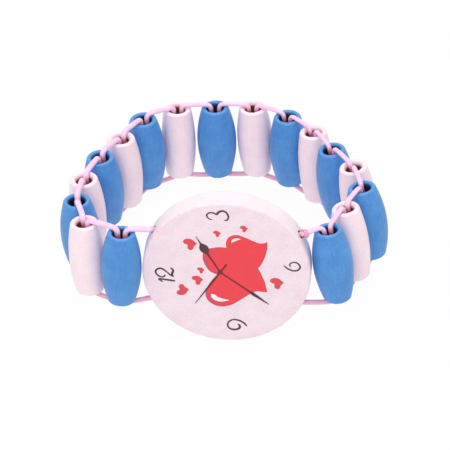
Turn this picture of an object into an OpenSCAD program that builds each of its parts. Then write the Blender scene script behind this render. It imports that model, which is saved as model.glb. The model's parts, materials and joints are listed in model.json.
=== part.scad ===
/* [Beads] */
// Length of a bead along its bore
bead_l = 17.2; // [14:0.2:20]
// Widest diameter of a blue bead
blue_bead_d = 8.6; // [7.5:0.1:9.5]
// Widest diameter of a pink bead
pink_bead_d = 7.8; // [7:0.1:9]
// Diameter of a bead where its side meets the end lip
bead_end_d = 6.1; // [5.8:0.1:6.8]
// Diameter of a bead's bore
bead_bore_d = 3.4; // [3.3:0.1:3.6]
// Rounding round the rim of a bead's end
lip_round = 0.6; // [0.3:0.1:0.6]
// Rounding of the bore's mouth
mouth_round = 0.3; // [0.2:0.1:0.4]
// Gap between neighbouring beads where they are widest
bead_gap = 0.2; // [0.15:0.05:0.8]

/* [Dial] */
// Diameter of the round wooden dial
dial_d = 35.6; // [32:0.1:42]
// Thickness of the dial
dial_t = 5.2; // [4:0.1:7]
// Rounding of the dial's two edges
dial_edge_round = 0.5; // [0.2:0.1:1]
// Turn of the dial about the upright line through its middle, in degrees
dial_turn = 4; // [0:0.5:6]
// Gap between the dial's rim and the bead at each side of it
dial_gap = 0.2; // [0.2:0.05:1.5]
// Height of each cord hole above or below the dial's middle
cord_hole_h = 8.8; // [6:0.1:10]
// Clearance between the elastic and the wall of its hole in the dial
cord_hole_gap = 0.25; // [0.15:0.05:0.5]

/* [Elastic] */
// Diameter of the elastic cord
cord_d = 1.1; // [0.8:0.05:1.2]
// Distance from a bead's axis to each of the two strands that pass in its bore
strand_off = 0.9; // [0.7:0.01:0.95]
// Clearance between the elastic and the bead end that it lies over
cord_rise = 0.15; // [0.1:0.05:0.5]
// Bend radius of the elastic where it turns over a bead's end
cord_bend = 1.1; // [1:0.05:1.4]
// Half of the gap between two strand ends that meet inside a bore
strand_end_gap = 0.1; // [0.05:0.05:0.3]
// Thickness of the cord where it is drawn tight in the knot
knot_cord_d = 0.6; // [0.4:0.05:0.8]
// Clearance between the knot's turns and the strand through them
knot_gap = 0.03; // [0.02:0.01:0.1]

/* [Printed face] */
// Thickness of one coat of printed ink
ink_t = 0.1; // [0.05:0.05:0.2]
// Turn of the whole print on the dial, anticlockwise, in degrees
print_turn = 98; // [90:1:100]
// Distance from the print's middle to a numeral
numeral_ring_r = 13.8; // [11:0.1:14.2]
// Height of a numeral
numeral_h = 4.2; // [3:0.1:4.5]
// Width of the pen that draws the numerals
numeral_pen = 0.42; // [0.2:0.02:0.6]
// Width of the two large hearts together, across the print
large_hearts_w = 18.8; // [14:0.2:19]
// Width of the largest of the small hearts
small_heart_w = 2.9; // [1.8:0.1:3.2]
// Length of the hour hand
hour_hand_l = 10.4; // [7:0.1:11]
// Length of the minute hand
minute_hand_l = 13; // [9:0.1:13]
// Length of the second hand
second_hand_l = 9.9; // [7:0.1:12]
// Length of the second hand's tail
second_tail_l = 2.4; // [1:0.1:4]
// Width of the thin stretch of a hand
hand_pen = 0.4; // [0.2:0.05:0.6]
// Width of the leaf on the hour hand
hour_leaf_w = 1.9; // [1:0.1:2.5]
// Width of the leaf on the minute hand
minute_leaf_w = 0.9; // [0.7:0.1:2]
// Diameter of the spot where the hands cross
hub_d = 1.3; // [0.8:0.1:2]

/* [Hidden] */
BEADS = 17;
PRINTED = ["numerals", "hearts", "hands"];
function two_figures(k) = str(k < 10 ? "0" : "", k);
function bead_name(k) = str("bead_", two_figures(k));
function elastic_name(k) = str("elastic_", two_figures(k));
$fn = 96;
half_turn = 180;
overrun = 0.5;

blue = "#5691d1";
pink = "#f5e1ea";
cord_pink = "#ebc3eb";
ink_red = "#ef4b57";
ink_dark = "#4a3638";

// Heading of each step from bead to bead, from the dial's left round to its right, as a share of a half turn.
heading_shares = [
    0.83, 0.56, 0.45, 0.37, 0.33, 0.32, 0.18, 0.01,
    0.01, -0.15, -0.25, -0.32, -0.3, -0.43, -0.63, -0.64
];
// Lean of each bead to the right and to the back, in degrees.
bead_leans = [
    [1, 1], [-3, 2], [-4, 0], [-4, -2], [-4, -3], [-4, -2], [-3, -1], [-1, -1], [-2, 0],
    [-3, -1], [-2, -1], [-4, 1], [-7, 1], [-9, 1], [-8, 2], [-8, 3], [-7, 3]
];
// How far each bead has slid up its bore's cords, as a share of its length.
bead_rise_shares = [0.01, 0, 0, 0, 0.02, 0.01, 0.01, 0, 0, 0, 0, 0, 0.015, 0.035, 0.045, 0.045, 0.025];
// Part of the way from the dial's hole to the last bead at which the knot sits.
knot_place_share = 0.3;

bead_r = bead_l / 2;
dial_r = dial_d / 2;
cord_r = cord_d / 2;
bead_step = (blue_bead_d + pink_bead_d) / 2 + bead_gap;
end_beads_apart = dial_d + blue_bead_d + 2 * dial_gap;
function bead_d(k) = k % 2 == 1 ? blue_bead_d : pink_bead_d;

// The chain of bead middles, seen from above: equal steps on the headings, each heading times one
// factor, found by halving, that brings the two end beads to the two sides of the dial.
function unit(v) = v / norm(v);
function flat_turn(p, a) = [p.x * cos(a) - p.y * sin(a), p.x * sin(a) + p.y * cos(a)];
function step(i, f) = bead_step * [cos(half_turn * heading_shares[i] * f), sin(half_turn * heading_shares[i] * f)];
function walk(f) = [
    for (i = 0, p = [0, 0]; i < BEADS; p = i < BEADS - 1 ? p + step(i, f) : p, i = i + 1) p
];
function reach_of(f) = norm(walk(f)[BEADS - 1]);
function factor(low, high, rounds) =
    let (middle = (low + high) / 2)
    rounds == 0 ? middle
    : reach_of(middle) > end_beads_apart ? factor(middle, high, rounds - 1)
    : factor(low, middle, rounds - 1);
least_factor = 0.6;
most_factor = 1.25;
halvings = 40;
loose_chain = walk(factor(least_factor, most_factor, halvings));
chain_end = loose_chain[BEADS - 1];
chain_turn = -atan2(chain_end.y, chain_end.x);
bead_places = [
    for (i = [0:BEADS - 1])
        let (q = flat_turn(loose_chain[i], chain_turn))
        [q.x - end_beads_apart / 2, q.y, bead_rise_shares[i] * bead_l]
];
bead_axes = [for (l = bead_leans) unit([tan(l.x), tan(l.y), 1])];
function place(k) = bead_places[k - 1];
function axis(k) = bead_axes[k - 1];

// The dial's cord holes lie across it; a mouth is where a hole comes out of the rim.
hole_half_l = sqrt(dial_r * dial_r - cord_hole_h * cord_hole_h);
function dial_point(x, h) = [x * cos(dial_turn), -x * sin(dial_turn), h];
left_mouth = dial_point(-hole_half_l, 0);
right_mouth = dial_point(hole_half_l, 0);
function neighbour(k) = k < 1 ? left_mouth : k > BEADS ? right_mouth : place(k);

// Half a strand, from the middle of a bead's bore out over its end towards a neighbour.
// up is 1 for the top end and -1 for the bottom; out is 1 towards the next bead and -1 towards the last one.
bore_rings = 4;
bend_rings = 5;
quarter_turn = 90;
function side_of(k, out) =
    let (a = axis(k), d = neighbour(k + out) - place(k)) unit(d - (d * a) * a);
function middle_side(k) = unit(cross(axis(k), side_of(k, 1) - side_of(k, -1)));
bend_start = bead_r + cord_rise + cord_r - cord_bend;
function half_strand(k, up, out) =
    let (
        a = up * axis(k),
        u = side_of(k, out),
        m = (up == out ? -1 : 1) * middle_side(k)
    )
    concat(
        [for (j = [0:bore_rings - 1])
            let (t = j / bore_rings, s = (1 - cos(half_turn * t)) / 2)
            place(k) + a * (strand_end_gap + t * (bend_start - strand_end_gap))
                + strand_off * unit((1 - s) * m + s * u)],
        [for (j = [0:bend_rings])
            let (w = quarter_turn * j / bend_rings)
            place(k) + a * (bend_start + cord_bend * sin(w)) + u * (strand_off + cord_bend * (1 - cos(w)))]
    );
// The stretch in the dial, from the middle of its hole to just past the mouth.
function dial_strand(up, out) = [
    for (x = [strand_end_gap, hole_half_l / 2, hole_half_l - cord_r, hole_half_l + cord_r])
        dial_point(-out * x, up * cord_hole_h)
];
function end_half(k, up, out) =
    k < 1 ? dial_strand(up, out) : k > BEADS ? dial_strand(up, out) : half_strand(k, up, out);
function backwards(v) = [for (i = [len(v) - 1:-1:0]) v[i]];
// Strand number k runs from bead k - 1 to bead k; the dial stands before the first and after the last.
function strand(k, up) = concat(end_half(k - 1, up, 1), backwards(end_half(k, up, -1)));

// How far the whole object reaches along a direction.
sample_rings = 24;
function bead_side_r(k, h) =
    let (bulge = (bead_d(k) - bead_end_d) / 2, side_h = bead_r - lip_round)
    bead_end_d / 2 + bulge * (1 - pow(h / side_h, 2));
function bead_reach(k, d) = max([
    for (i = [-sample_rings:sample_rings])
        let (h = i / sample_rings * (bead_r - lip_round))
        (place(k) + h * axis(k)) * d + bead_side_r(k, h) * norm(cross(axis(k), d))
]);
dial_front = [-sin(dial_turn), -cos(dial_turn), 0];
function dial_reach(d) =
    (dial_t / 2 - dial_edge_round) * abs(dial_front * d)
    + (dial_r - dial_edge_round) * norm(cross(dial_front, d)) + dial_edge_round;
elastic_points = [for (k = [1:BEADS + 1]) for (up = [-1, 1]) each strand(k, up)];
function elastic_reach(d) = cord_r + max([for (p = elastic_points) p * d]);
function reach(d) = max(concat([for (k = [1:BEADS]) bead_reach(k, d)], [dial_reach(d), elastic_reach(d)]));

// Tilt, found by halving, at which the dial's lower rim and the elastic under the rear beads both stand
// on the ground.
function upward(a) = [0, -sin(a), cos(a)];
function rear_is_low(a) = elastic_reach(-upward(a)) > dial_reach(-upward(a));
function tilt_between(low, high, rounds) =
    let (middle = (low + high) / 2)
    rounds == 0 ? middle
    : rear_is_low(middle) ? tilt_between(low, middle, rounds - 1)
    : tilt_between(middle, high, rounds - 1);
tilt = tilt_between(0, half_turn / 4, halvings / 2);
ground_x = [1, 0, 0];
ground_y = [0, cos(tilt), sin(tilt)];
ground_z = upward(tilt);
centre_x = (reach(ground_x) - reach(-ground_x)) / 2;
centre_y = (reach(ground_y) - reach(-ground_y)) / 2;
ground_h = reach(-ground_z);

module stand() {
    translate([-centre_x, -centre_y, ground_h])
        rotate([-tilt, 0, 0])
            children();
}

module on_bead(k) {
    a = axis(k);
    translate(place(k))
        rotate([-asin(a.y), atan2(a.x, a.z), 0])
            children();
}

// The dial's own frame: x to the right, y up its face, z out of the face, from the dial's middle.
module on_dial() {
    rotate([quarter_turn, 0, -dial_turn])
        children();
}

// Points of an arc about a middle, from one angle to another.
function arc(middle, rx, ry, from, to, steps) = [
    for (i = [0:steps])
        let (w = from + (to - from) * i / steps) middle + [rx * cos(w), ry * sin(w)]
];

// Half of a bead's outline, from the bore's wall over the rounded end to the widest place and down again.
side_steps = 7;
round_steps = 4;
function upper_outline(d) =
    let (
        bore_r = bead_bore_d / 2,
        side_h = bead_r - lip_round,
        bulge = (d - bead_end_d) / 2,
        lip_x = bead_end_d / 2 - lip_round
    )
    concat(
        [for (i = [0:side_steps - 1])
            let (h = side_h * i / side_steps)
            [bead_end_d / 2 + bulge * (1 - pow(h / side_h, 2)), h]],
        arc([lip_x, side_h], lip_round, lip_round, 0, quarter_turn, round_steps),
        arc([bore_r + mouth_round, bead_r - mouth_round], mouth_round, mouth_round,
            quarter_turn, half_turn, round_steps)
    );
function bead_outline(d) =
    let (top = upper_outline(d))
    concat(top, [for (i = [len(top) - 1:-1:1]) [top[i].x, -top[i].y]]);

module bead(k) {
    color(k % 2 == 1 ? blue : pink)
        stand()
            on_bead(k)
                rotate_extrude()
                    polygon(bead_outline(bead_d(k)));
}

module dial_outline() {
    edge_x = dial_r - dial_edge_round;
    edge_z = dial_t / 2 - dial_edge_round;
    polygon(concat(
        [[0, -dial_t / 2]],
        arc([edge_x, -edge_z], dial_edge_round, dial_edge_round, -quarter_turn, 0, round_steps),
        arc([edge_x, edge_z], dial_edge_round, dial_edge_round, 0, quarter_turn, round_steps),
        [[0, dial_t / 2]]
    ));
}

module dial() {
    color(pink)
        stand()
            on_dial()
                difference() {
                    rotate_extrude()
                        dial_outline();
                    for (up = [-1, 1])
                        translate([0, up * cord_hole_h, 0])
                            rotate([0, quarter_turn, 0])
                                cylinder(h = dial_d + overrun, r = cord_r + cord_hole_gap, center = true);
                }
}

// A tube swept along points: rings square to the path, joined by triangles.
cord_sides = 6;
function tangent(path, i) = unit(path[min(i + 1, len(path) - 1)] - path[max(i - 1, 0)]);
function ring(path, i, normal) =
    let (
        t = tangent(path, i),
        e = unit(normal - (normal * t) * t),
        f = cross(t, e)
    )
    [for (j = [0:cord_sides - 1])
        let (w = 2 * half_turn * j / cord_sides)
        path[i] + cord_r * (cos(w) * e + sin(w) * f)];
function wall(i) = [
    for (j = [0:cord_sides - 1])
        let (
            a = i * cord_sides + j,
            b = i * cord_sides + (j + 1) % cord_sides
        )
        each [[a, a + cord_sides, b], [b, a + cord_sides, b + cord_sides]]
];
function lid(first, way) = [
    for (j = [1:cord_sides - 2])
        way > 0 ? [first, first + j, first + j + 1] : [first, first + j + 1, first + j]
];
module tube(path, normal) {
    rings = len(path);
    polyhedron(
        points = [for (i = [0:rings - 1]) each ring(path, i, normal)],
        faces = concat(
            lid(0, 1),
            [for (i = [0:rings - 2]) each wall(i)],
            lid((rings - 1) * cord_sides, -1)
        )
    );
}

module elastic(k) {
    color(cord_pink)
        stand()
            for (up = [-1, 1])
                let (path = strand(k, up))
                tube(path, unit(cross(path[len(path) - 1] - path[0], [0, 0, 1])));
}

// The knot: two tight turns round the strand, just outside the dial's upper right hole.
module elastic_knot() {
    path = strand(BEADS + 1, 1);
    bead_end = path[bore_rings + bend_rings];
    hole_end = path[bore_rings + bend_rings + 1];
    along = unit(bead_end - hole_end);
    middle = hole_end + knot_place_share * (bead_end - hole_end);
    turn_r = cord_r + knot_gap + knot_cord_d / 2;
    color(cord_pink)
        stand()
            translate(middle)
                rotate([0, acos(along.z), atan2(along.y, along.x)])
                    for (i = [-1, 1])
                        translate([0, 0, i * knot_cord_d / 4])
                            rotate_extrude()
                                translate([turn_r, 0])
                                    circle(d = knot_cord_d);
}

// The print's own frame on the front face: y towards the twelve.
print_middle_shares = [0.01, 0.035];
print_middle = dial_r * print_middle_shares;
module on_print() {
    stand()
        on_dial()
            translate([print_middle.x, print_middle.y, dial_t / 2])
                rotate([0, 0, print_turn])
                    children();
}

// A pen stroke: the outline of a line of points, drawn with a pen of one width.
function stroke_side(points, i, half_w) =
    let (t = unit(points[min(i + 1, len(points) - 1)] - points[max(i - 1, 0)]))
    half_w * [-t.y, t.x];
function stroke(points, w) = concat(
    [for (i = [0:len(points) - 1]) points[i] + stroke_side(points, i, w / 2)],
    [for (i = [len(points) - 1:-1:0]) points[i] - stroke_side(points, i, w / 2)]
);

// Middle lines of the strokes of each figure, as shares of a figure's height, about its middle.
arc_steps = 10;
one_shares = [
    [[-0.17, 0.3], [-0.06, 0.4], [0.01, 0.5]],
    [[0, 0.5], [0.01, 0], [-0.01, -0.5]]
];
two_shares = [
    concat(arc([-0.02, 0.26], 0.25, 0.24, 165, -30, arc_steps), [[-0.26, -0.42]]),
    [[-0.3, -0.42], [0.34, -0.4]]
];
three_shares = [
    arc([-0.04, 0.27], 0.23, 0.23, 150, -80, arc_steps),
    arc([-0.04, -0.22], 0.28, 0.28, 88, -150, arc_steps)
];
six_shares = [
    concat(
        arc([0.32, -0.14], 0.56, 0.64, 108, 178, arc_steps),
        arc([0.02, -0.24], 0.25, 0.26, 190, 465, 2 * arc_steps)
    )
];
nine_shares = [for (line = six_shares) [for (p = line) -p]];

// The figures lean to the right by this share of their height.
slant_share = 0.22;
function slanted(line) = [for (p = line) [p.x + slant_share * p.y, p.y]];
module figure(shares, place_shares, size_share) {
    translate(numeral_ring_r * place_shares)
        for (line = shares)
            linear_extrude(ink_t)
                polygon(stroke(numeral_h * size_share * slanted(line), numeral_pen));
}

module numerals() {
    color(ink_dark)
        on_print() {
            figure(one_shares, [-0.07, 0.95], 0.86);
            figure(two_shares, [0.07, 0.96], 0.95);
            figure(three_shares, [1.035, -0.01], 1.1);
            figure(six_shares, [-0.01, -0.995], 0.85);
            figure(nine_shares, [-1.025, 0], 1);
        }
}

// A smooth line through points, with some steps from each point to the next: a Catmull-Rom curve,
// without the last point.
heart_steps = 2;
function curved(points) = [
    for (i = [0:len(points) - 2], j = [0:heart_steps - 1])
        let (
            a = points[max(i - 1, 0)],
            b = points[i],
            c = points[i + 1],
            d = points[min(i + 2, len(points) - 1)],
            t = j / heart_steps
        )
        b + (t * (c - a) + t * t * (2 * a - 5 * b + 4 * c - d) + t * t * t * (3 * b - a - 3 * c + d)) / 2
];
// The two large hearts overlap in one outline. It has five sides, from corner to corner, round their
// two notches and two tips and the corner between the tips. Shares of the hearts' width, from their middle.
large_hearts_shares = [
    [[0.33, 0.05], [0.415, 0.04], [0.48, -0.015], [0.49, -0.1], [0.44, -0.19], [0.395, -0.255],
        [0.355, -0.325], [0.35, -0.38], [0.365, -0.415]],
    [[0.365, -0.415], [0.285, -0.405], [0.17, -0.365], [0.07, -0.31], [0.015, -0.26]],
    [[0.015, -0.26], [-0.07, -0.285], [-0.195, -0.31], [-0.325, -0.315]],
    [[-0.325, -0.315], [-0.31, -0.255], [-0.3, -0.195], [-0.325, -0.125], [-0.395, -0.005],
        [-0.455, 0.11], [-0.47, 0.225], [-0.425, 0.32], [-0.34, 0.375], [-0.235, 0.37],
        [-0.12, 0.3], [-0.025, 0.21]],
    [[-0.025, 0.21], [0.04, 0.29], [0.155, 0.33], [0.25, 0.33], [0.325, 0.28], [0.345, 0.19],
        [0.345, 0.115], [0.33, 0.05]]
];
large_hearts_place_shares = [-0.02, -0.12];
// A small heart's two sides, from its notch to its tip and back, as shares of its width.
small_heart_shares = [
    [[0, 0.18], [0.09, 0.37], [0.28, 0.47], [0.46, 0.34], [0.51, 0.05], [0.4, -0.21], [0.2, -0.37],
        [0.03, -0.52]],
    [[0.03, -0.52], [-0.13, -0.36], [-0.25, -0.24], [-0.45, -0.15], [-0.51, 0.06], [-0.35, 0.21],
        [-0.15, 0.2], [0, 0.18]]
];
// Each small heart: its place as shares of the numerals' distance, its size as a share of the largest
// one's, and whether it is turned over.
small_hearts_shares = [
    [[0.55, 0.49], 1, false],
    [[0.7, 0.05], 0.56, false],
    [[0.75, -0.37], 0.57, false],
    [[0.05, 0.4], 0.54, false],
    [[-0.13, 0.48], 0.82, false],
    [[-0.28, 0.74], 0.97, true],
    [[-0.31, -0.72], 1, false]
];

module heart_print(place_shares, w, sides) {
    translate(numeral_ring_r * place_shares)
        linear_extrude(ink_t)
            polygon(w * [for (side = sides) each curved(side)]);
}

module hearts() {
    color(ink_red)
        difference() {
            on_print() {
                heart_print(large_hearts_place_shares, large_hearts_w, large_hearts_shares);
                for (h = small_hearts_shares)
                    heart_print(h[0], small_heart_w * h[1], [
                        for (side = small_heart_shares)
                            [for (p = side) h[2] ? [-p.x, p.y] : p]
                    ]);
            }
            hands_solid(overrun);
        }
}

// A hand's outline along +y: a thin line, then a leaf that starts, is widest and passes into a spike at
// three shares of the hand's length.
spike_w_share = 0.25;
function hand(l, leaf_w, leaf_shares) =
    let (side = [
        [hand_pen / 2, 0],
        [hand_pen / 2, l * leaf_shares[0]],
        [leaf_w / 2, l * leaf_shares[1]],
        [spike_w_share * leaf_w / 2, l * leaf_shares[2]]
    ])
    concat(side, [[0, l]], [for (p = backwards(side)) [-p.x, p.y]]);
hour_leaf_shares = [0.53, 0.68, 0.81];
minute_leaf_shares = [0.61, 0.67, 0.86];
hub_place_shares = [-0.015, 0.11];
hub_place = numeral_ring_r * hub_place_shares;
hour_clock = -69;
minute_clock = -226;
second_clock = -311;
module hands_solid(extra) {
    hand_t = ink_t + 2 * extra;
    on_print()
        translate([hub_place.x, hub_place.y, -extra]) {
            rotate([0, 0, hour_clock])
                linear_extrude(hand_t)
                    polygon(hand(hour_hand_l, hour_leaf_w, hour_leaf_shares));
            rotate([0, 0, minute_clock])
                linear_extrude(hand_t)
                    polygon(hand(minute_hand_l, minute_leaf_w, minute_leaf_shares));
            rotate([0, 0, second_clock])
                translate([-hand_pen / 2, -second_tail_l, 0])
                    cube([hand_pen, second_hand_l + second_tail_l, hand_t]);
            cylinder(h = hand_t, d = hub_d);
        }
}

module hands() {
    color(ink_dark)
        hands_solid(0);
}

dial();
numerals();
hearts();
hands();
elastic_knot();
for (k = [1:BEADS])
    bead(k);
for (k = [1:BEADS + 1])
    elastic(k);
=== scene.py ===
# %% [markdown]
# # A toy watch of painted wooden beads
#
# A child's toy watch: a round wooden dial with a printed face, and a band of seventeen barrel beads on
# one pink elastic cord. The imported model gives every piece its real size and place. This script dresses
# it: each piece is worked out again as a finer surface with the marks that turning, sanding and
# painting leave. The beads, the dial, its print, the knot and the last stretch of cord ride on their bodies.

# %% Load the frame
import json

import bpy
import numpy as np
from mathutils import Matrix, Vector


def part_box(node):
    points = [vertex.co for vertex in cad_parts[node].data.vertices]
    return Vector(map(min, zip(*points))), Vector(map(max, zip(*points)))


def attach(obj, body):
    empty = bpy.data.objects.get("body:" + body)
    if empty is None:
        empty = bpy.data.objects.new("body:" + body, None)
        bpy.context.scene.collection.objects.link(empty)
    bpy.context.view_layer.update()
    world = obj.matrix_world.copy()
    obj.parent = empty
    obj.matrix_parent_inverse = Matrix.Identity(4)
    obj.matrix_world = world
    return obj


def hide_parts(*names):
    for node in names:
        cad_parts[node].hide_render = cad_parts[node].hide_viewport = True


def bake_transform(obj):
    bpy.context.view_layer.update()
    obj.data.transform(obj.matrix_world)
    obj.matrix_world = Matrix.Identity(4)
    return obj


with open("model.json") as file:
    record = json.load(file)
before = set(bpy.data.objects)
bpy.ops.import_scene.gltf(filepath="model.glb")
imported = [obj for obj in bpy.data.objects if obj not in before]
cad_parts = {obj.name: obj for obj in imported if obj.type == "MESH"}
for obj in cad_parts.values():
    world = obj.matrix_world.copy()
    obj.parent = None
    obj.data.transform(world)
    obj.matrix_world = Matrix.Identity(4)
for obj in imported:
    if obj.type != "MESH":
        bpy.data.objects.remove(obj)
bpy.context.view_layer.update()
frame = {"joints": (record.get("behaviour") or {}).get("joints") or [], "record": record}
mm = 0.001

# %% [markdown]
# ## Where everything is
#
# Nothing is placed by eye. The middle and the axis of each bead come from the joint that it spins on,
# and the dial's own directions come from the flat mount on its back. The whole ring is tipped back a
# little, because the dial's rim and the elastic under the rear beads both stand on the ground, so each
# of these directions is a slanted one.

# %% Read the beads' axes and the dial's directions
BEADS = 17


def unit(v):
    """A vector, or each row of an array of vectors, divided by its length."""
    v = np.asarray(v, float)
    return v / np.linalg.norm(v, axis=-1, keepdims=True)


joints = {joint["name"]: joint for joint in frame["joints"]}
bead_joint = [joints[f"spin_{k:02d}"] for k in range(1, BEADS + 1)]
bead_middle = np.array([joint["pos_m"] for joint in bead_joint])
bead_axis = unit([joint["axis"] for joint in bead_joint])

dial_back = next(mount for mount in frame["record"]["mounts"] if mount["name"] == "dial_back")
dial_out = -unit(dial_back["axis"])
tilt = np.arctan2(dial_out[2], -dial_out[1])
ring_up = np.array([0, np.sin(tilt), np.cos(tilt)])
dial_across = unit(np.cross(ring_up, dial_out))
dial_low, dial_high = (np.array(corner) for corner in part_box("dial"))
dial_middle = (dial_low + dial_high) / 2
print("ring tipped back by", round(np.degrees(tilt), 2), "degrees; dial middle", dial_middle.round(4))

# %% [markdown]
# ## Camera
#
# The photograph looks down at about 45 degrees through a long lens from almost a metre away, so the
# ring is seen with hardly any perspective. A small roll levels the dial as the picture shows it.

# %% Aim the camera
azimuth, elevation, roll = np.radians([0.73, 45.31, -0.98])
camera_distance = 903 * mm
sensor_w = 36.0
focal_px, picture_px = 4211, 450
aim_right, aim_up = 0.15 * mm, -7.6 * mm
aim_height = 18 * mm

view_back = np.array([
    np.sin(azimuth) * np.cos(elevation),
    -np.cos(azimuth) * np.cos(elevation),
    np.sin(elevation),
])
level_right = np.array([np.cos(azimuth), np.sin(azimuth), 0])
level_up = np.cross(view_back, level_right)
view_right = np.cos(roll) * level_right + np.sin(roll) * level_up
view_up = np.cross(view_back, view_right)
eye = [0, 0, aim_height] + aim_right * view_right + aim_up * view_up + camera_distance * view_back

lens = bpy.data.cameras.new("camera")
lens.sensor_width = sensor_w
lens.lens = focal_px / picture_px * sensor_w
camera = bpy.data.objects.new("camera", lens)
bpy.context.scene.collection.objects.link(camera)
pose = np.eye(4)
pose[:3, :] = np.column_stack([view_right, view_up, view_back, eye])
camera.matrix_world = Matrix(pose.tolist())
bpy.context.scene.camera = camera
print("lens", round(lens.lens, 1), "mm, eye at", eye.round(3))

# %% [markdown]
# ## Shader arithmetic
#
# Materials are written as expressions. A Wire is one output of a shader node, and adding or multiplying
# wires adds the Math node that does it. Every other kind of node comes from one method, which sets the
# node's settings first and then its inputs, with a number or with another wire.

# %% The Wire and the Finish
class Wire:
    """One output of a shader node. Arithmetic with wires and numbers adds Math nodes."""

    def __init__(self, finish, socket):
        self.finish, self.socket = finish, socket

    def maths(self, operation, a, b):
        return self.finish.node("Math", {"operation": operation}, {0: a, 1: b})

    def __add__(self, other):
        return self.maths("ADD", self, other)

    def __sub__(self, other):
        return self.maths("SUBTRACT", self, other)

    def __rsub__(self, other):
        return self.maths("SUBTRACT", other, self)

    def __mul__(self, other):
        return self.maths("MULTIPLY", self, other)

    __radd__ = __add__


class Finish:
    """A node tree being written: one method adds any node and returns the output that is asked for."""

    def __init__(self, owner):
        self.owner = owner
        owner.use_nodes = True
        self.tree = owner.node_tree
        self.tree.nodes.clear()

    def node(self, kind, settings=None, inputs=None, out=0):
        made = self.tree.nodes.new("ShaderNode" + kind)
        for name, value in (settings or {}).items():
            setattr(made, name, value)
        for name, value in (inputs or {}).items():
            if isinstance(value, Wire):
                self.tree.links.new(value.socket, made.inputs[name])
            else:
                made.inputs[name].default_value = value
        return Wire(self, made.outputs[out]) if made.outputs else None

    def mix(self, share, a, b):
        """Colour a where share is 0 and colour b where it is 1."""
        return self.node("Mix", {"data_type": "RGBA"}, {0: share, 6: a, 7: b}, out=2)

    def step(self, value, low, high):
        """0 below low, 1 above high, and smooth between them."""
        settings = {"interpolation_type": "SMOOTHSTEP"}
        return self.node("MapRange", settings, {"Value": value, "From Min": low, "From Max": high})

    def noise(self, place, per_mm, detail=2.0):
        """Noise from 0 to 1 with about so many lumps in a millimetre."""
        return self.node("TexNoise", None, {"Vector": place, "Scale": per_mm / mm, "Detail": detail})

    def mark(self, name):
        """A number that the piece's mesh holds at each point."""
        return self.node("Attribute", {"attribute_name": name}, out="Fac")


def srgb(r, g, b):
    """The linear colour of a screen colour given from 0 to 255."""
    c = np.array([r, g, b]) / 255
    return (*np.where(c <= 0.04045, c / 12.92, ((c + 0.055) / 1.055) ** 2.4).tolist(), 1.0)


# %% [markdown]
# ## Floor, backdrop and light
#
# The photograph was taken in a light tent over a bright table, and its ground is pure white. The floor
# is such a table top: a plain white glow, mixed where it is seen or mirrored with a little of a pale
# surface that keeps the soft contact shadow, so no lamp has to be strong enough to bleach it. What it
# throws back up keeps the lower half of every bead bright. The world is the tent: it lights dull surfaces
# gently and mirrors more brightly in satin ones. A broad lamp above the camera, a little to the left,
# gives the shapes their roundness, and one overhead whitens the dial's rim and the tops of the beads.

# %% Lay the floor and hang the lights
WHITE = (1.0, 1.0, 1.0, 1.0)
floor_half = 3.0
floor_pale = srgb(248, 248, 250)
floor_glow_share = 0.95
tent_level, tent_shine = 0.68, 0.85

corners = np.array([[-1, -1, 0], [1, -1, 0], [1, 1, 0], [-1, 1, 0]]) * floor_half
floor_mesh = bpy.data.meshes.new("floor")
floor_mesh.from_pydata(corners.tolist(), [], [[0, 1, 2, 3]])
floor = bpy.data.objects.new("floor", floor_mesh)
bpy.context.scene.collection.objects.link(floor)
floor_finish = Finish(bpy.data.materials.new("pale_floor"))
seen = floor_finish.node("LightPath", out="Is Camera Ray")
mirrored = floor_finish.node("LightPath", out="Is Glossy Ray")
floor_finish.node("OutputMaterial", None, {"Surface": floor_finish.node(
    "MixShader", None, {
        0: 1 - (seen + mirrored) * (1 - floor_glow_share),
        1: floor_finish.node("BsdfDiffuse", None, {"Color": floor_pale}),
        2: floor_finish.node("Emission", None, {"Color": WHITE, "Strength": 1.0}),
    })})
floor_mesh.materials.append(floor_finish.owner)

world = bpy.data.worlds.new("light_tent")
bpy.context.scene.world = world
tent = Finish(world)
shown = tent.node("LightPath", out="Is Camera Ray")
mirrored = tent.node("LightPath", out="Is Glossy Ray")
level = shown * (1 - tent_level) + mirrored * (tent_shine - tent_level) + tent_level
tent.node("OutputWorld", None, {
    "Surface": tent.node("Background", None, {"Color": WHITE, "Strength": level})})


def lamp(name, place, across, watts):
    """A square lamp of a size in metres that faces the object from a place."""
    light = bpy.data.lights.new(name, "AREA")
    light.size, light.energy = across, watts
    holder = bpy.data.objects.new(name, light)
    back = unit(place)
    side = unit(np.cross([0, 0, 1], back))
    turn = np.eye(4)
    turn[:3, :] = np.column_stack([side, np.cross(back, side), back, place])
    holder.matrix_world = Matrix(turn.tolist())
    bpy.context.scene.collection.objects.link(holder)


lamp("key", [-0.25, -0.75, 0.8], 0.7, 3.1)
lamp("top", [0.1, 0.15, 0.95], 0.6, 3.3)
bpy.context.scene.view_settings.view_transform = "Standard"

# %% [markdown]
# ## Painted wood
#
# The beads and the dial are turned in a pale wood and dipped in thin satin paint. Up close such paint
# isn't one colour. It clouds softly, it lies thinner over the hard streaks of the grain, it dries with
# a fine orange peel, and it rubs paler on sharp edges; that pale edge is also a painted highlight where
# light catches them. The patterns are laid out in each piece's own turning directions, kept on its mesh
# as an attribute, so the grain runs along every bead however it leans, and no two beads have the same
# marks.

# %% The paint
cloud_per_mm, grain_per_mm, pore_per_mm, blush_per_mm = 0.32, 2.6, 3.4, 0.45
grain_draw = (1.0, 1.0, 0.12)
cloud_tone, grain_tone = 0.9, 0.7
cloud_wear, pore_wear = 0.8, 0.9
cloud_height, grain_height, pore_height = 0.5, 0.35, 0.5
grain_gloss = 0.2
tone_from, tone_to, tone_to_with_speckle = 0.8, 1.4, 0.4
wear_and_highlight_from, wear_and_highlight_to = 0.45, 1.25
blush_from, blush_to = 0.46, 0.62


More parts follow.
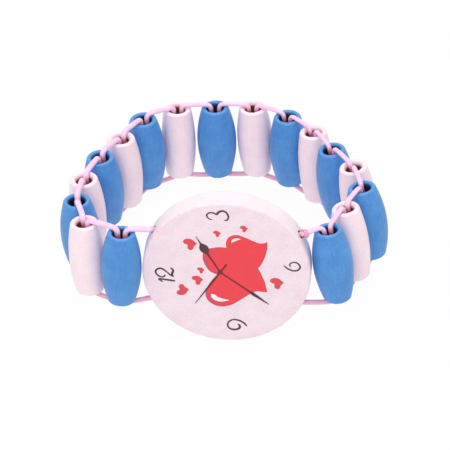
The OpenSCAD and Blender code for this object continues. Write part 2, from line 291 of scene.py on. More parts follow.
def paint(name, light, deep, rubbed_and_highlit, painted_bore_shade, roughness, peel=0.05, speckle=0.9, blush=None):
    """Satin paint on wood: light and deep are the two tones that it clouds between; the next colour is
    rubbed paint and a painted edge highlight where the mesh says edge, the one after it is painted shade
    where the mesh says bore, and blush shows in patches where it says blush. Peel is the height of the
    orange peel in millimetres."""
    finish = Finish(bpy.data.materials.new(name))
    place = finish.node("Attribute", {"attribute_name": "turned_place"}, out="Vector")
    along = finish.node("VectorMath", {"operation": "MULTIPLY"}, {0: place, 1: grain_draw})
    clouds = finish.noise(place, cloud_per_mm, detail=3.0)
    grain = finish.noise(along, grain_per_mm, detail=3.0)
    pores = finish.noise(place, pore_per_mm)
    mottle = clouds * cloud_tone + grain * grain_tone + pores * speckle
    tone = finish.step(mottle, tone_from, tone_to + tone_to_with_speckle * speckle)
    colour = finish.mix(tone, light, deep)
    # Paler edges: rubbed paint, and a painted highlight where light catches the lips.
    wear_and_highlight = finish.mark("edge") + (pores - 0.5) * pore_wear + (clouds - 0.5) * cloud_wear
    colour = finish.mix(finish.step(wear_and_highlight, wear_and_highlight_from, wear_and_highlight_to), colour, rubbed_and_highlit)
    if blush:
        patches = finish.step(finish.noise(place, blush_per_mm, detail=4.0), blush_from, blush_to)
        colour = finish.mix(patches * finish.mark("blush"), colour, blush)
    # Painted shade: inside the bores and round the dial's holes the colour goes over to the dark bore
    # colour.
    colour = finish.mix(finish.mark("bore"), colour, painted_bore_shade)
    height = clouds * cloud_height + grain * grain_height + pores * pore_height
    bump = finish.node("Bump", None, {"Distance": peel * mm, "Height": height})
    surface = finish.node("BsdfPrincipled", None, {
        "Base Color": colour,
        "Roughness": roughness + (grain - 0.5) * grain_gloss,
        "Normal": bump,
    })
    finish.node("OutputMaterial", None, {"Surface": surface})
    return finish.owner


# In each paint the third colour is rubbed paint that is also a painted edge highlight, and the fourth is
# painted shade for the insides of the bores and holes.
blue_paint = paint(
    "blue_paint", srgb(82, 149, 215), srgb(58, 128, 202), srgb(98, 161, 220), srgb(20, 44, 84), 0.42)
pink_paint = paint(
    "pink_paint", srgb(254, 235, 240), srgb(249, 219, 229), srgb(254, 238, 243), srgb(142, 66, 72), 0.42)
dial_paint = paint(
    "dial_paint", srgb(250, 233, 240), srgb(238, 215, 226), srgb(250, 238, 243), srgb(150, 92, 112), 0.45,
    peel=0.035, speckle=1.3, blush=srgb(247, 206, 223))
print("paints:", blue_paint.name, pink_paint.name, dial_paint.name)

# %% [markdown]
# ## From numbers to meshes
#
# Every shape below is an array of points with rows and columns, like a net of squares. One helper joins
# the net into faces, and it can close the net round either way or bring an end row together in a single
# pole. Another turns the faces to the outside by the sign of the volume they enclose, and a third makes
# the object.

# %% Nets, poles and pieces
def net(rows, columns, around_rows=False):
    """The squares of a net whose columns close round, and whose rows do too if around_rows says so."""
    i = np.arange(rows if around_rows else rows - 1)[:, None]
    j = np.arange(columns)[None, :]
    below, beside = (i + 1) % rows, (j + 1) % columns
    return np.stack([
        i * columns + j, i * columns + beside, below * columns + beside, below * columns + j,
    ], -1).reshape(-1, 4)


def with_poles(points, columns):
    """The faces of a net whose first and last rows are each closed by one more point, put at the end."""
    rows = len(points) // columns
    j = np.arange(columns)
    beside = (j + 1) % columns
    first, last = len(points), len(points) + 1
    top = np.stack([beside, j, np.full(columns, first)], -1)
    base = (rows - 1) * columns
    bottom = np.stack([base + j, base + beside, np.full(columns, last)], -1)
    return [net(rows, columns), top, bottom]


def volume(points, blocks):
    """Six times the volume that the faces enclose, positive where they face outwards."""
    total = 0.0
    for block in blocks:
        for k in range(1, block.shape[1] - 1):
            a, b, c = points[block[:, 0]], points[block[:, k]], points[block[:, k + 1]]
            total += np.einsum("ij,ij->", a, np.cross(b, c))
    return total


def mesh_of(name, parts):
    """One mesh of several closed shells, each given as its points and its blocks of faces."""
    every_point, every_face, start = [], [], 0
    for points, blocks in parts:
        points = np.asarray(points, float)
        inside_out = volume(points - points.mean(0), blocks) < 0
        for block in blocks:
            outward = block[:, ::-1] if inside_out else block
            every_face += (outward + start).tolist()
        every_point.append(points)
        start += len(points)
    mesh = bpy.data.meshes.new(name)
    mesh.from_pydata(np.concatenate(every_point).tolist(), [], every_face)
    mesh.shade_smooth()
    return mesh


def piece(name, mesh, material):
    """An object at the origin with its place in its mesh."""
    mesh.materials.append(material)
    made = bpy.data.objects.new(name, mesh)
    bpy.context.scene.collection.objects.link(made)
    return made


def note(mesh, name, values):
    """Keeps a number, or a vector, at each point of a mesh, for its material to read."""
    values = np.asarray(values, np.float32)
    kind, key = ("FLOAT_VECTOR", "vector") if values.ndim == 2 else ("FLOAT", "value")
    mesh.attributes.new(name, kind, "POINT").data.foreach_set(key, values.ravel())


def arc(middle, radius, start, stop, count):
    """Points of an arc from one angle to another, in degrees, without the last one."""
    w = np.radians(np.linspace(start, stop, count, endpoint=False))
    return np.column_stack([middle[0] + radius * np.cos(w), middle[1] + radius * np.sin(w)])


# %% [markdown]
# ## The beads
#
# A bead is a barrel turned on a lathe: its side is an arc, its ends roll over a lip, and the mouth of
# the bore flares so that it doesn't cut the elastic. The outline repeats the model's sizes. A real
# bead is never quite round, because it was sanded in a drum with a thousand others, so each one gets
# its own faint flats, a slightly wavy lip and its own stretch of grain, and a few are turned slimmer.
# Inside the mouth the colour darkens to painted shade, which in a pale bead starts farther down.

# %% Turn the beads
bead_l = 17.2 * mm
bead_paint = {"blue": blue_paint, "pink": pink_paint}
bead_widest = {"blue": 8.6 * mm, "pink": 7.8 * mm}
slimmer = {8: 0.955, 11: 0.98, 12: 0.97, 13: 0.98}
bead_end_d = 6.1 * mm
bead_bore_d = 3.4 * mm
lip_round = 0.6 * mm
mouth_flare, mouth_depth = 0.7 * mm, 1.3 * mm
# Painted shade in the bore: how far below the lip it starts, and over what depth it darkens fully.
bore_shade_from = {"blue": 0.15 * mm, "pink": 0.65 * mm}
bore_shade_over = 0.45 * mm
lip_gap = 0.01 * mm
flat_depth = 0.035 * mm
lip_wave, lip_wave_power = 0.07 * mm, 12
any_phase = 6.3
grain_shift = np.array([0.031, 0.017, 0.023])
bead_half = bead_l / 2
side_half = bead_half - lip_round
lip_r = bead_end_d / 2 - lip_round
bead_columns, side_rows, lip_rows, flare_rows, bore_rows = 80, 30, 7, 10, 14


def bead_outline(widest):
    """Distance from the axis and height along it, once round a bead's cross-section: up the barrel,
    whose radius falls off with the square of the height, over the lip, down the bore and back."""
    h = np.linspace(-side_half, side_half, side_rows, endpoint=False)
    side = bead_end_d / 2 + (widest - bead_end_d) / 2 * (1 - (h / side_half) ** 2)
    flare = arc((0, 0), 1, 90, 180, flare_rows) * [mouth_flare, mouth_depth]
    flare = flare + [bead_bore_d / 2 + mouth_flare, bead_half - mouth_depth]
    wall = np.linspace(bead_half - mouth_depth, mouth_depth - bead_half, bore_rows)
    return np.concatenate([
        np.column_stack([side, h]),
        arc((lip_r, side_half), lip_round, 0, 90, lip_rows),
        flare,
        np.column_stack([np.full(len(wall), bead_bore_d / 2), wall]),
        flare[::-1] * [1, -1],
        arc((lip_r, -side_half), lip_round, 270, 360, lip_rows)[1:],
    ])


def turned_bead(k):
    """A bead's points in its own directions, round the outline and round the axis: the outline turned
    about the axis, with a few faint waves in its radius and, at the lips, in its height."""
    rng = np.random.default_rng(100 + k)
    outline = bead_outline(bead_widest["blue" if k % 2 else "pink"] * slimmer.get(k, 1))
    r, h = outline[:, :1], outline[:, 1:]
    w = np.linspace(0, 2 * np.pi, bead_columns, endpoint=False)[None, :]
    outer = np.clip((r - bead_bore_d / 2) / (bead_end_d / 2 - bead_bore_d / 2), 0, 1)
    rim = np.clip(np.abs(h) / bead_half, 0, 1) ** lip_wave_power
    wave = 0
    for n in (2, 3, 5, 7):
        phase = rng.uniform(0, any_phase)
        wave = wave + np.sin(n * w + phase + rng.uniform(-1, 1) * h / bead_half) / n
    chip = sum(np.sin(n * w + rng.uniform(0, any_phase)) / np.sqrt(n) for n in (2, 4, 7, 11, 16))
    r = r - flat_depth * outer * (1 + wave)
    h = h - np.sign(h) * lip_wave * rim * (0.5 + 0.25 * chip)
    return np.stack([r * np.cos(w), r * np.sin(w), h + 0 * w], -1), outline


for k in range(1, BEADS + 1):
    local, outline = turned_bead(k)
    up = bead_axis[k - 1]
    side = unit(np.cross(up, [0, 1, 0]))
    directions = np.array([side, np.cross(up, side), up])
    points = bead_middle[k - 1] + local.reshape(-1, 3) @ directions
    mesh = mesh_of(f"bead_mesh_{k:02d}", [(points, [net(len(outline), bead_columns, around_rows=True)])])
    tall = np.abs(local[..., 2]).ravel()
    wide = np.hypot(local[..., 0], local[..., 1]).ravel()
    note(mesh, "turned_place", local.reshape(-1, 3) + k * grain_shift)
    colour = "blue" if k % 2 else "pink"
    end_ring = np.clip((tall - side_half) / lip_round, 0, 1)
    # Painted shade inside the bore, below the lip; the pale edge ring stops where it begins.
    in_bore = np.clip((bead_half - tall - bore_shade_from[colour]) / bore_shade_over, 0, 1)
    in_bore = in_bore * (wide < lip_r - lip_gap)
    # The pale end ring is rubbed paint and a painted highlight on the lip.
    note(mesh, "edge", end_ring * (1 - in_bore))
    note(mesh, "bore", in_bore)
    barrel = piece(f"{colour}_barrel_{k:02d}", mesh, bead_paint[colour])
    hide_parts(f"bead_{k:02d}")
    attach(barrel, f"bead_{k:02d}")
print("turned", BEADS, "beads of", len(mesh.polygons), "faces each")

# %% [markdown]
# ## The dial
#
# The dial is a disc sawn from a rod and sanded, so its faces are flat and its two edges are only just
# rounded. Two holes run right across it for the elastic. The disc is turned like a bead, from an
# outline that ends in a pole on each face, and the holes are then cut with a Boolean, because their
# mouths in the round rim are curves that no simple net would follow.

# %% Saw the dial and drill it
dial_d = 35.6 * mm
dial_t = 5.2 * mm
dial_edge_round = 0.5 * mm
cord_hole_h = 8.8 * mm
cord_d = 1.1 * mm
cord_hole_gap = 0.25 * mm
rim_wave, rim_wave_power = 0.05 * mm, 30
dial_columns, face_rows, edge_rows, rim_rows = 240, 16, 7, 12
drill_columns = 40
drill_reach_share = 0.6
middle_share = 0.04
sharp_from = np.radians(40)
rubbed_shares, most_rubbed = [0.975, 0.995], 0.9
blush_shares, most_blush = [0.86, 0.94], 0.5
hole_shade_share = 1.02
dial_axes = np.array([dial_across, ring_up, dial_out])


def dial_outline():
    """Distance from the axis and height along it, from near the middle of the back round to the front."""
    edge_r, edge_h = dial_d / 2 - dial_edge_round, dial_t / 2 - dial_edge_round
    spokes = np.linspace(middle_share, 1, face_rows, endpoint=False) * edge_r
    return np.concatenate([
        np.column_stack([spokes, np.full(len(spokes), -dial_t / 2)]),
        arc((edge_r, -edge_h), dial_edge_round, -90, 0, edge_rows),
        np.column_stack([
            np.full(rim_rows, dial_d / 2), np.linspace(-edge_h, edge_h, rim_rows, endpoint=False)]),
        arc((edge_r, edge_h), dial_edge_round, 0, 90, edge_rows),
        np.column_stack([spokes[::-1], np.full(len(spokes), dial_t / 2)]),
    ])


def dial_points():
    """The dial's outline turned about its axis. The rim dips by a few faint waves, and the two edges by
    finer ones where the saw tore the wood."""
    rng = np.random.default_rng(7)
    outline = dial_outline()
    r, h = outline[:, :1], outline[:, 1:]
    w = np.linspace(0, 2 * np.pi, dial_columns, endpoint=False)[None, :]
    at_rim = np.clip(r / (dial_d / 2), 0, 1) ** rim_wave_power
    at_edge = np.exp(-((np.abs(h) - dial_t / 2) / dial_edge_round) ** 2)
    slow = sum(np.sin(n * w + rng.uniform(0, any_phase) + h / dial_t) / n for n in (2, 3, 5, 9, 13))
    fine = sum(np.sin(n * w + rng.uniform(0, any_phase) + 3 * h / dial_t) for n in (23, 37, 53, 71, 90)) / 5
    r = r - rim_wave * at_rim * (0.9 + 0.4 * slow + 0.5 * fine * at_edge)
    local = np.stack([r * np.cos(w), r * np.sin(w), h + 0 * w], -1).reshape(-1, 3)
    return np.concatenate([local, [[0, 0, -dial_t / 2], [0, 0, dial_t / 2]]])


def rod(start, stop, radius, columns):
    """A straight round rod between two points, closed by a pole at each end."""
    along = unit(stop - start)
    side = unit(np.cross(along, [0, 1, 0]))
    w = np.linspace(0, 2 * np.pi, columns, endpoint=False)[:, None]
    ring = radius * (np.cos(w) * side + np.sin(w) * np.cross(along, side))
    return np.concatenate([start + ring, stop + ring, [start, stop]])


def cut(piece_mesh, cutter_parts):
    """The mesh that is left when other closed shapes are taken out of it."""
    body = bpy.data.objects.new("body", piece_mesh)
    tool = bpy.data.objects.new("tool", mesh_of("tool", cutter_parts))
    for thing in (body, tool):
        bpy.context.scene.collection.objects.link(thing)
    drill = body.modifiers.new("drill", "BOOLEAN")
    drill.operation, drill.solver, drill.object = "DIFFERENCE", "EXACT", tool
    shaped = body.evaluated_get(bpy.context.evaluated_depsgraph_get())
    result = bpy.data.meshes.new_from_object(shaped)
    bpy.data.objects.remove(body)
    bpy.data.objects.remove(tool)
    return result


blank = dial_middle + dial_points() @ dial_axes
hole_r = cord_d / 2 + cord_hole_gap
drills = []
for height in (-cord_hole_h, cord_hole_h):
    hole_middle, reach = dial_middle + height * ring_up, drill_reach_share * dial_d * dial_across
    drill_points = rod(hole_middle - reach, hole_middle + reach, hole_r, drill_columns)
    drills.append((drill_points, with_poles(drill_points[:-2], drill_columns)))
dial_mesh = cut(mesh_of("blank", [(blank, with_poles(blank[:-2], dial_columns))]), drills)
dial_mesh.shade_smooth()
dial_mesh.set_sharp_from_angle(angle=sharp_from)

spots = np.zeros(len(dial_mesh.vertices) * 3)
dial_mesh.vertices.foreach_get("co", spots)
on_dial = (spots.reshape(-1, 3) - dial_middle) @ dial_axes.T
from_axis = np.hypot(on_dial[:, 0], on_dial[:, 1])
from_hole = np.hypot(np.abs(on_dial[:, 1]) - cord_hole_h, on_dial[:, 2])
note(dial_mesh, "turned_place", on_dial)
out_share = from_axis / (dial_d / 2)
on_face = on_dial[:, 2] > dial_t / 2 - dial_edge_round
note(dial_mesh, "edge", np.interp(out_share, rubbed_shares, [0, most_rubbed]))
note(dial_mesh, "blush", np.interp(out_share, blush_shares, [0, most_blush]) * on_face)
# Painted shade in and round the two cord holes.
note(dial_mesh, "bore", (from_hole < hole_shade_share * hole_r).astype(float))
disc = piece("wooden_dial", dial_mesh, dial_paint)
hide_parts("dial")
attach(disc, "dial")
print("dial of", len(dial_mesh.polygons), "faces")

# %% [markdown]
# ## The elastic
#
# One smooth cord runs the whole way round twice, once along the tops of the beads and once along the
# bottoms, and changes sides inside each bore. So every bead shows two strands that come up out of its
# bore, bend over the lip left and right, and cross to the neighbours. Each stretch between two beads is
# a piece of its own, left where it is built, though the real cord lengthens there when the band is
# pulled on over a hand. Along the top the cord is slack and thick at the front left and pulled thinner
# round the rear. The last stretch is thin in the dial's holes, where it slides.

# %% The route of a strand
strand_off = 0.9 * mm
cord_rise = 0.15 * mm
cord_bend = 1.1 * mm
strand_end_gap = 0.1 * mm
bow = 0.08 * mm
bend_rows, bore_steps, across_steps = 9, 10, 10
top_thickness = [
    1.1, 1.14, 1.17, 1.18, 1.16, 1.12, 1.1, 1.02, 0.95, 0.9, 0.9, 0.9, 0.92, 0.95, 0.98, 1.02, 1.02, 1.0,
]
cord_r = cord_d / 2
hole_half = np.sqrt((dial_d / 2) ** 2 - cord_hole_h ** 2)
left_mouth = dial_middle - hole_half * dial_across
right_mouth = dial_middle + hole_half * dial_across
stops = np.vstack([left_mouth, bead_middle, right_mouth])
bend_start = bead_half + cord_rise + cord_r - cord_bend


def side_of(k, out):
    """The direction from bead k's axis, square to it, towards its neighbour."""
    d = stops[k + out] - stops[k]
    axis = bead_axis[k - 1]
    return unit(d - (d @ axis) * axis)


def half_strand(k, up, out):
    """From the middle of bead k's bore, along it and round towards the neighbour's side, then a quarter
    turn over the lip."""
    axis = up * bead_axis[k - 1]
    towards = side_of(k, out)
    middle_side = unit(np.cross(bead_axis[k - 1], side_of(k, 1) - side_of(k, -1)))
    start_side = (-1 if up == out else 1) * middle_side
    t = np.linspace(0, 1, bore_steps, endpoint=False)[:, None]
    s = (1 - np.cos(np.pi * t)) / 2
    in_bore = stops[k] + axis * (strand_end_gap + t * (bend_start - strand_end_gap))
    in_bore = in_bore + strand_off * unit((1 - s) * start_side + s * towards)
    w = np.radians(np.linspace(0, 90, bend_rows))[:, None]
    over_lip = stops[k] + axis * (bend_start + cord_bend * np.sin(w))
    over_lip = over_lip + towards * (strand_off + cord_bend * (1 - np.cos(w)))
    return np.concatenate([in_bore, over_lip])


def dial_strand(up, out):
    """From the middle of the dial's hole to just outside its mouth."""
    near_mouth = hole_half + cord_r * np.array([-3, -1, 1])
    x = np.concatenate([[strand_end_gap, hole_half / 2], near_mouth])
    return dial_middle - out * np.outer(x, dial_across) + up * cord_hole_h * ring_up


def half_route(k, up, out):
    return half_strand(k, up, out) if 1 <= k <= BEADS else dial_strand(up, out)


def route(k, up):
    """The middle line of strand k, from bead k - 1 to bead k: two halves, and between them a straight
    stretch that bows out a little; then the corners are eased with a running mean."""
    before, after = half_route(k - 1, up, 1), half_route(k, up, -1)[::-1]
    t = np.linspace(0, 1, across_steps)[1:-1, None]
    across = before[-1] + t * (after[0] - before[-1])
    across = across + up * bow * np.sin(np.pi * t) ** 2 * ring_up
    line = np.concatenate([before, across, after])
    for _ in range(3):
        line[1:-1] = (line[:-2] + 2 * line[1:-1] + line[2:]) / 4
    return line


def tube(line, normal, radius, columns=18):
    """Rings round a line, square to it, with a pole at each end. The radius may change along it."""
    along = unit(np.gradient(line, axis=0))
    side = unit(normal - np.sum(normal * along, 1, keepdims=True) * along)
    w = np.linspace(0, 2 * np.pi, columns, endpoint=False)[None, :, None]
    ring = np.cos(w) * side[:, None] + np.sin(w) * np.cross(along, side)[:, None]
    reach = np.broadcast_to(np.asarray(radius, float), (len(line),))[:, None, None]
    points = (line[:, None] + reach * ring).reshape(-1, 3)
    return np.concatenate([points, line[[0, -1]]]), with_poles(points, columns)


routes = {(k, up): route(k, up) for k in range(1, BEADS + 2) for up in (-1, 1)}
whole_cord = sum(np.linalg.norm(np.diff(line, axis=0), axis=1).sum() for line in routes.values())
print("the whole cord is", round(whole_cord / mm), "mm long")

# %% [markdown]
# ## The cord's finish
#
# The cord is a clear, pink rubber. It is smooth, so it catches a soft streak of light along its length,
# and it clouds between lilac and rose. In the bores, on the knot and along the bottoms of the beads it
# is darker and duller, which is painted shade.

# %% The rubber
lump_per_mm, fine_per_mm = 0.5, 5.0
rubber_peel = 0.008 * mm


def rubber(lilac, rose, dark):
    """Pink rubber that clouds between two tones, with painted shade where the mesh says bore."""
    finish = Finish(bpy.data.materials.new("elastic"))
    place = finish.node("Attribute", {"attribute_name": "turned_place"}, out="Vector")
    lumps = finish.noise(place, lump_per_mm)
    fine = finish.noise(place, fine_per_mm)
    colour = finish.mix(finish.step(lumps, 0.35, 0.65), lilac, rose)
    # Painted shade where the mesh says bore.
    colour = finish.mix(finish.mark("bore"), colour, dark)
    surface = finish.node("BsdfPrincipled", None, {
        "Base Color": colour,
        "Roughness": 0.3 + fine * 0.12,
        "Normal": finish.node("Bump", None, {"Distance": rubber_peel, "Height": fine}),
        "Coat Weight": 0.25,
        "Coat Roughness": 0.2,
    })
    finish.node("OutputMaterial", None, {"Surface": surface})
    return finish.owner


# The third colour is painted shade, for the cord in the bores and holes, on the knot and along the lower
# strands.
elastic = rubber(srgb(254, 213, 246), srgb(252, 207, 233), srgb(206, 118, 150))

# %% Thread the strands
# How far the cord's painted shade reaches into the bores and the dial's holes; low_shade is painted shade
# laid evenly along the lower strands.
bore_slack = 0.2 * mm
bore_dark_over = 1.2 * mm
hole_dark_past, hole_dark_over = 0.5 * mm, 0.8 * mm
clear_of_bore = 1.2 * mm
waist, waist_power = 0.05, 8
thin_in_dial = 0.45
low_shade = 0.45


def in_a_bore(points, k):
    """1 where a point lies inside one of strand k's two bores, falling to 0 at the bore's mouth: how much
    painted shade it gets there.
    """
    depth = np.zeros(len(points))
    for bead in (k - 1, k):
        if 1 <= bead <= BEADS:
            offset, axis = points - stops[bead], bead_axis[bead - 1]
            height = offset @ axis
            across = np.linalg.norm(offset - np.outer(height, axis), axis=1)
            below_lip = np.clip((bead_half - np.abs(height)) / bore_dark_over, 0, 1)
            depth = np.maximum(depth, (across < bead_bore_d / 2 + bore_slack) * below_lip)
    if k in (1, BEADS + 1):
        along_dial = np.abs((points - dial_middle) @ dial_across)
        in_hole = np.clip((hole_half + hole_dark_past - along_dial) / hole_dark_over, 0, 1)
        depth = np.maximum(depth, in_hole)
    return depth


def body_name(k):
    return f"stretch_{k:02d}" if k else "dial"


for k in range(1, BEADS + 2):
    parts = []
    for up in (-1, 1):
        line = routes[k, up]
        thin = 1 - waist * np.sin(np.pi * np.linspace(0, 1, len(line))) ** waist_power
        thin = thin * (top_thickness[k - 1] if up > 0 else 1)
        if k == BEADS + 1:
            in_dial = np.clip((hole_half - (line - dial_middle) @ dial_across) / mm, 0, 1)
            thin = thin * (1 - thin_in_dial * in_dial)
        parts.append(tube(line, unit(np.cross(line[-1] - line[0], ring_up)), cord_r * thin))
    mesh = mesh_of(f"strand_mesh_{k:02d}", parts)
    low_points, points = parts[0][0], np.concatenate([p for p, _ in parts])
    # Painted shade: a fixed amount along every lower strand, and more inside the bores and the dial's holes.
    shade = np.where(np.arange(len(points)) < len(low_points), low_shade, 0)
    note(mesh, "turned_place", points)
    note(mesh, "bore", np.maximum(in_a_bore(points, k), shade))
    strands = piece(f"cord_strands_{k:02d}", mesh, elastic)
    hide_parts(f"elastic_{k:02d}")
    if k <= BEADS:
        gap = unit(stops[k] - stops[k - 1])
        start = stops[k - 1] + clear_of_bore * gap
        stops[k] - clear_of_bore * gap
        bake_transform(strands)
    else:
        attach(strands, body_name(BEADS))
print("threaded", BEADS + 1, "pairs of strands,", len(mesh.polygons), "faces in the last")

# %% [markdown]
# ## The knot
#
# The cord's two ends are tied beside the dial, by its upper right hole. The knot is small and pulled
# tight: one end goes twice round the strand, close to the rim, and its trimmed tail lies down the rim.

# %% Tie the knot
knot_cord_d = 0.6 * mm
knot_place_share = 0.15
knot_turn_r = 0.7 * mm
knot_turns, last_turn_end = 2.1, 0.5
knot_l = 0.7 * mm
knot_tuck_share = 0.35
knot_tip_share = 0.02
knot_shade = 0.6
tail_l = 2.2 * mm

top_line = half_strand(BEADS, 1, 1)[-1]
hole_end = dial_middle + (hole_half + cord_r) * dial_across + cord_hole_h * ring_up
knot_middle = hole_end + knot_place_share * (top_line - hole_end)
knot_along = unit(top_line - hole_end)
knot_side = unit(np.cross(knot_along, ring_up))
knot_front = np.cross(knot_side, knot_along)


def knot_line(count=110):
    """Round the strand as a screw thread, and then off it in a soft bend, down beside the rim."""
    t = np.linspace(0, 1, count)[:, None]
    w = 2 * np.pi * (knot_turns * (t - 1) + last_turn_end)
    turns = knot_turn_r * (np.cos(w) * knot_side - np.sin(w) * knot_front)
    turns = turns * (1 - knot_tuck_share * (1 - t) ** 6) + knot_l * (0.5 - t) * knot_along
    leave = unit(turns[-1] - turns[-2])
    s = np.linspace(0, 1, 30)[1:, None]
    tail = turns[-1] + tail_l * (s * leave * (1 - s / 2) - s ** 2 / 2 * ring_up)
    return knot_middle + np.concatenate([turns, tail])


line = knot_line()
to_tip = 1 - np.linspace(0, 1, len(line))
reach = knot_cord_d / 2 * np.sqrt(np.clip(to_tip / knot_tip_share, 0.05, 1))
knot_points, knot_faces = tube(line, np.tile(knot_along, (len(line), 1)), reach, 14)
knot_mesh = mesh_of("knot_mesh", [(knot_points, knot_faces)])
note(knot_mesh, "turned_place", knot_points)
# Painted shade over the whole knot.
note(knot_mesh, "bore", np.full(len(knot_points), knot_shade))
knot = piece("tied_knot", knot_mesh, elastic)
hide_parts("elastic_knot")
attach(knot, body_name(BEADS))
print("knot of", len(knot_mesh.polygons), "faces")

# %% [markdown]
# ## Ink
#
# The face is pad printed: a thin film of ink laid on the paint, so the film follows the orange peel
# below and is a little shinier than it. Red for the hearts, a warm brown, nearly black, for the numerals
# and hands.

# %% The inks
film_per_mm = 0.6
film_from, film_to = 0.55, 0.95
film_peel = 0.02 * mm


def ink(name, colour, thin, roughness, mark=None, marked=None):
    """Printed ink that thins a little where the paint below it stands high, and turns to another colour
    where the mesh has a mark."""
    finish = Finish(bpy.data.materials.new(name))
    place = finish.node("TexCoord", out="Object")
    pores = finish.noise(place, pore_per_mm)
    clouds = finish.noise(place, film_per_mm)
    cover = finish.step(pores * 0.7 + clouds * 0.5, film_from, film_to)
    shade = finish.mix(cover, colour, thin)
    if mark:
        shade = finish.mix(finish.mark(mark), shade, marked)
    surface = finish.node("BsdfPrincipled", None, {
        "Base Color": shade,
        "Roughness": roughness + (pores - 0.5) * 0.15,
        "Normal": finish.node("Bump", None, {"Distance": film_peel, "Height": pores + clouds * 0.5}),
    })
    finish.node("OutputMaterial", None, {"Surface": surface})
    return finish.owner


red_ink = ink("red_ink", srgb(237, 56, 70), srgb(239, 70, 84), 0.5, "dull", srgb(208, 74, 90))
dark_ink = ink("dark_ink", srgb(70, 40, 50), srgb(96, 62, 74), 0.5, "over_red", srgb(118, 18, 28))
bare_gloss = ink("bare_gloss", srgb(253, 236, 236), srgb(250, 222, 226), 0.5)

# %% [markdown]
# ## The print's own directions
#
# The whole print was laid on turned: its twelve points to the left of the picture. Print directions are
# the dial's, turned by that angle, with the third one out of the face. Every mark below is drawn in
# them, in millimetres, and then placed.

# %% Print directions
print_turn = np.radians(98)
print_middle_share = np.array([0.01, 0.035])
numeral_ring_r = 13.8 * mm
print_right = np.cos(print_turn) * dial_across + np.sin(print_turn) * ring_up
print_top = np.cos(print_turn) * ring_up - np.sin(print_turn) * dial_across
print_axes = np.array([print_right, print_top, dial_out])
print_middle = dial_middle + dial_out * dial_t / 2
print_middle = print_middle + dial_d / 2 * (print_middle_share @ np.array([dial_across, ring_up]))


def printed(name, parts, material, node=None):
    """A piece of the print on the dial, made of closed shells drawn in the print's own directions."""
    placed = [(print_middle + points @ print_axes, faces) for points, faces in parts]
    made = piece(name, mesh_of(name + "_mesh", placed), material)
    if node:
        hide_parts(node)
    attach(made, "dial")
    print(name, "of", len(made.data.polygons), "faces")
    return made


def band(line, half_width, base, film, columns=10):
    """A pen stroke: a flattened tube along a flat line, as wide as the pen and as thick as the film."""
    along = unit(np.gradient(line, axis=0))
    side = np.column_stack([-along[:, 1], along[:, 0]])
    w = np.linspace(0, 2 * np.pi, columns, endpoint=False)[None, :]
    across = np.sign(np.cos(w)) * np.abs(np.cos(w)) ** 0.5 * np.reshape(half_width, (-1, 1))
    flat = line[:, None] + across[..., None] * side[:, None]
    high = base + film / 2 * (1 + np.sign(np.sin(w)) * np.abs(np.sin(w)) ** 0.5) + 0 * across
    points = np.concatenate([flat, high[..., None]], -1).reshape(-1, 3)
    poles = np.column_stack([line[[0, -1]], [base + film / 2] * 2])
    return np.concatenate([points, poles]), with_poles(points, columns)


# %% [markdown]
# ## The numerals
#
# Plain figures in a slanted pen hand. Each stroke is a short list of places that the nib passes, and at
# each one how wide it draws there. A Catmull-Rom curve joins them: between two places it is the one
# cubic that leaves each in the direction of its two neighbours, so the line never has a corner.

# %% Draw the numerals
numeral_h = 4.2 * mm
ink_film = 0.05 * mm
ink_sink = 0.012 * mm
stroke_step = 0.004 * mm


def curved(points, steps=8):
    """A smooth line through points of any number of columns, with so many steps between two of them."""
    p = np.asarray(points, float)
    a, b, c, d = np.vstack([p[:1], p[:-2]]), p[:-1], p[1:], np.vstack([p[2:], p[-1:]])
    t = np.arange(steps)[None, :, None] / steps
    a, b, c, d = (v[:, None, :] for v in (a, b, c, d))
    line = b + (t * (c - a) + t ** 2 * (2 * a - 5 * b + 4 * c - d) + t ** 3 * (3 * b - a - 3 * c + d)) / 2
    return np.vstack([line.reshape(-1, p.shape[1]), p[-1:]])


ONE = [
    [[-0.13, 0.24, 0.07], [-0.02, 0.35, 0.11], [0.09, 0.46, 0.12]],
    [[0.12, 0.48, 0.09], [0.03, 0.14, 0.12], [-0.06, -0.18, 0.13], [-0.15, -0.49, 0.12]],
]
TWO = [
    [[-0.15, -0.01, 0.1], [-0.25, 0.04, 0.09], [-0.29, 0.17, 0.09], [-0.2, 0.34, 0.1], [-0.02, 0.45, 0.1],
     [0.15, 0.44, 0.11], [0.26, 0.31, 0.11], [0.27, 0.15, 0.11], [0.17, 0.01, 0.1], [-0.01, -0.14, 0.08],
     [-0.19, -0.27, 0.08], [-0.33, -0.4, 0.08]],
    [[-0.34, -0.44, 0.08], [-0.18, -0.37, 0.12], [-0.02, -0.45, 0.13], [0.09, -0.47, 0.11],
     [0.2, -0.43, 0.09], [0.23, -0.34, 0.07]],
]
THREE = [
    [[-0.19, 0.28, 0.06], [-0.15, 0.39, 0.06], [-0.06, 0.46, 0.07], [0.06, 0.49, 0.08], [0.17, 0.4, 0.08],
     [0.19, 0.25, 0.08], [0.14, 0.13, 0.08], [0.04, 0.02, 0.08]],
    [[0.03, 0.02, 0.11], [0.13, -0.02, 0.11], [0.22, -0.15, 0.11], [0.22, -0.29, 0.1], [0.13, -0.41, 0.09],
     [-0.02, -0.47, 0.09], [-0.15, -0.47, 0.08], [-0.25, -0.42, 0.08], [-0.3, -0.35, 0.07],
     [-0.28, -0.25, 0.06]],
]
